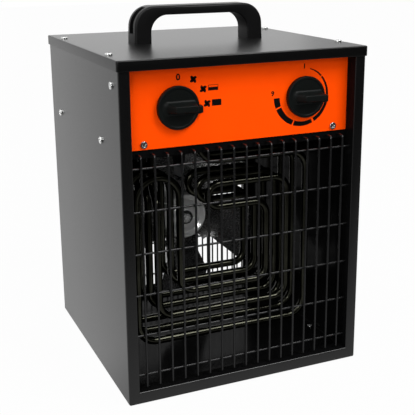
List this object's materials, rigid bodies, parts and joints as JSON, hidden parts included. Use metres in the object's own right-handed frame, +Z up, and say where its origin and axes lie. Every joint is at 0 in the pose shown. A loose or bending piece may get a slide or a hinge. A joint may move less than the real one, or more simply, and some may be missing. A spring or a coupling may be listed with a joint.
{
  "type": "forced air heater",
  "caption": "Box-shaped fan heater with a folded sheet casing, wire guards, nested tubular elements, an axial fan, rotary controls and a bridge handle.",
  "frame": {"origin": "on the floor under the centre of the casing", "axes": "+Z up, -Y out of the front guard towards the user, +X to the right seen from the front"},
  "size_m": [0.2644, 0.2763, 0.3797],
  "materials": {
    "casing_black": "satin powder coat, fine texture",
    "panel_orange": "satin powder coat, bright orange",
    "guard_wire": "dark coated wire, half gloss",
    "plated_sheet": "zinc-plated sheet, satin",
    "zinc_fastener": "bright zinc plate",
    "handle_plastic": "moulded, fine grain",
    "knob_plastic": "moulded, satin",
    "control_plastic": "glass-filled moulding",
    "element_tube": "heat-tinted steel sheath",
    "ceramic_bead": "unglazed steatite",
    "brass_fitting": "plain turned brass",
    "lead_insulation": "silicone insulation, matte",
    "fan_aluminium": "rolled sheet blades, polished hub",
    "motor_shell": "dark enamel",
    "ground_steel": "ground",
    "grommet_rubber": "matte",
    "gland_plastic": "nylon",
    "button_red": "moulded, plain"
  },
  "bodies": {
    "heater": {"casing_wrap": "casing_black", "lid": "casing_black", "rear_panel": "casing_black", "control_panel": "panel_orange", "divider_shelf": "casing_black", "front_grille": "guard_wire", "rear_grille": "guard_wire", "handle": "handle_plastic", "handle_screws": "zinc_fastener", "handle_nuts": "zinc_fastener", "lid_screws": "zinc_fastener", "side_screws": "zinc_fastener", "panel_screws": "zinc_fastener", "rear_screws": "zinc_fastener", "selector_switch": "control_plastic", "thermostat": "control_plastic", "thermostat_sensor": "brass_fitting", "sensor_grommet": "grommet_rubber", "element_ferrules": "brass_fitting", "element_beads": "ceramic_bead", "element_pins": "ground_steel", "star_link": "brass_fitting", "element_leads": "lead_insulation", "feed_leads": "lead_insulation", "terminal_block": "control_plastic", "motor": "motor_shell", "motor_plate": "plated_sheet", "motor_screws": "zinc_fastener", "cable_gland": "gland_plastic", "gland_nut": "gland_plastic", "thermal_cutout": "control_plastic", "heating_element_1": "element_tube", "heating_element_2": "element_tube", "heating_element_3": "element_tube"},
    "rotor": {"fan": "fan_aluminium", "fan_washer": "grommet_rubber", "fan_nut": "zinc_fastener", "motor_shaft": "ground_steel"},
    "selector": {"selector_knob": "knob_plastic", "selector_spindle": "ground_steel"},
    "thermostat_dial": {"thermostat_knob": "knob_plastic", "thermostat_spindle": "ground_steel"},
    "reset": {"reset_button": "button_red"}
  },
  "joints": [
    {"name": "fan_spin", "type": "hinge", "parent": "heater", "child": "rotor", "pos_m": [0, 0.05, 0.1298], "axis": [0, 1, 0], "continuous": true},
    {"name": "selector_turn", "type": "hinge", "parent": "heater", "child": "selector", "pos_m": [-0.0685, -0.12, 0.2925], "axis": [0, 1, 0], "range_deg": [-90, 0]},
    {"name": "thermostat_turn", "type": "hinge", "parent": "heater", "child": "thermostat_dial", "pos_m": [0.0685, -0.12, 0.2925], "axis": [0, 1, 0], "range_deg": [-90, 180]},
    {"name": "reset_press", "type": "slide", "parent": "heater", "child": "reset", "axis": [0, -1, 0], "range_m": [0, 0.002], "stiffness_N_per_m": 500, "springref_m": -0.001}
  ]
}
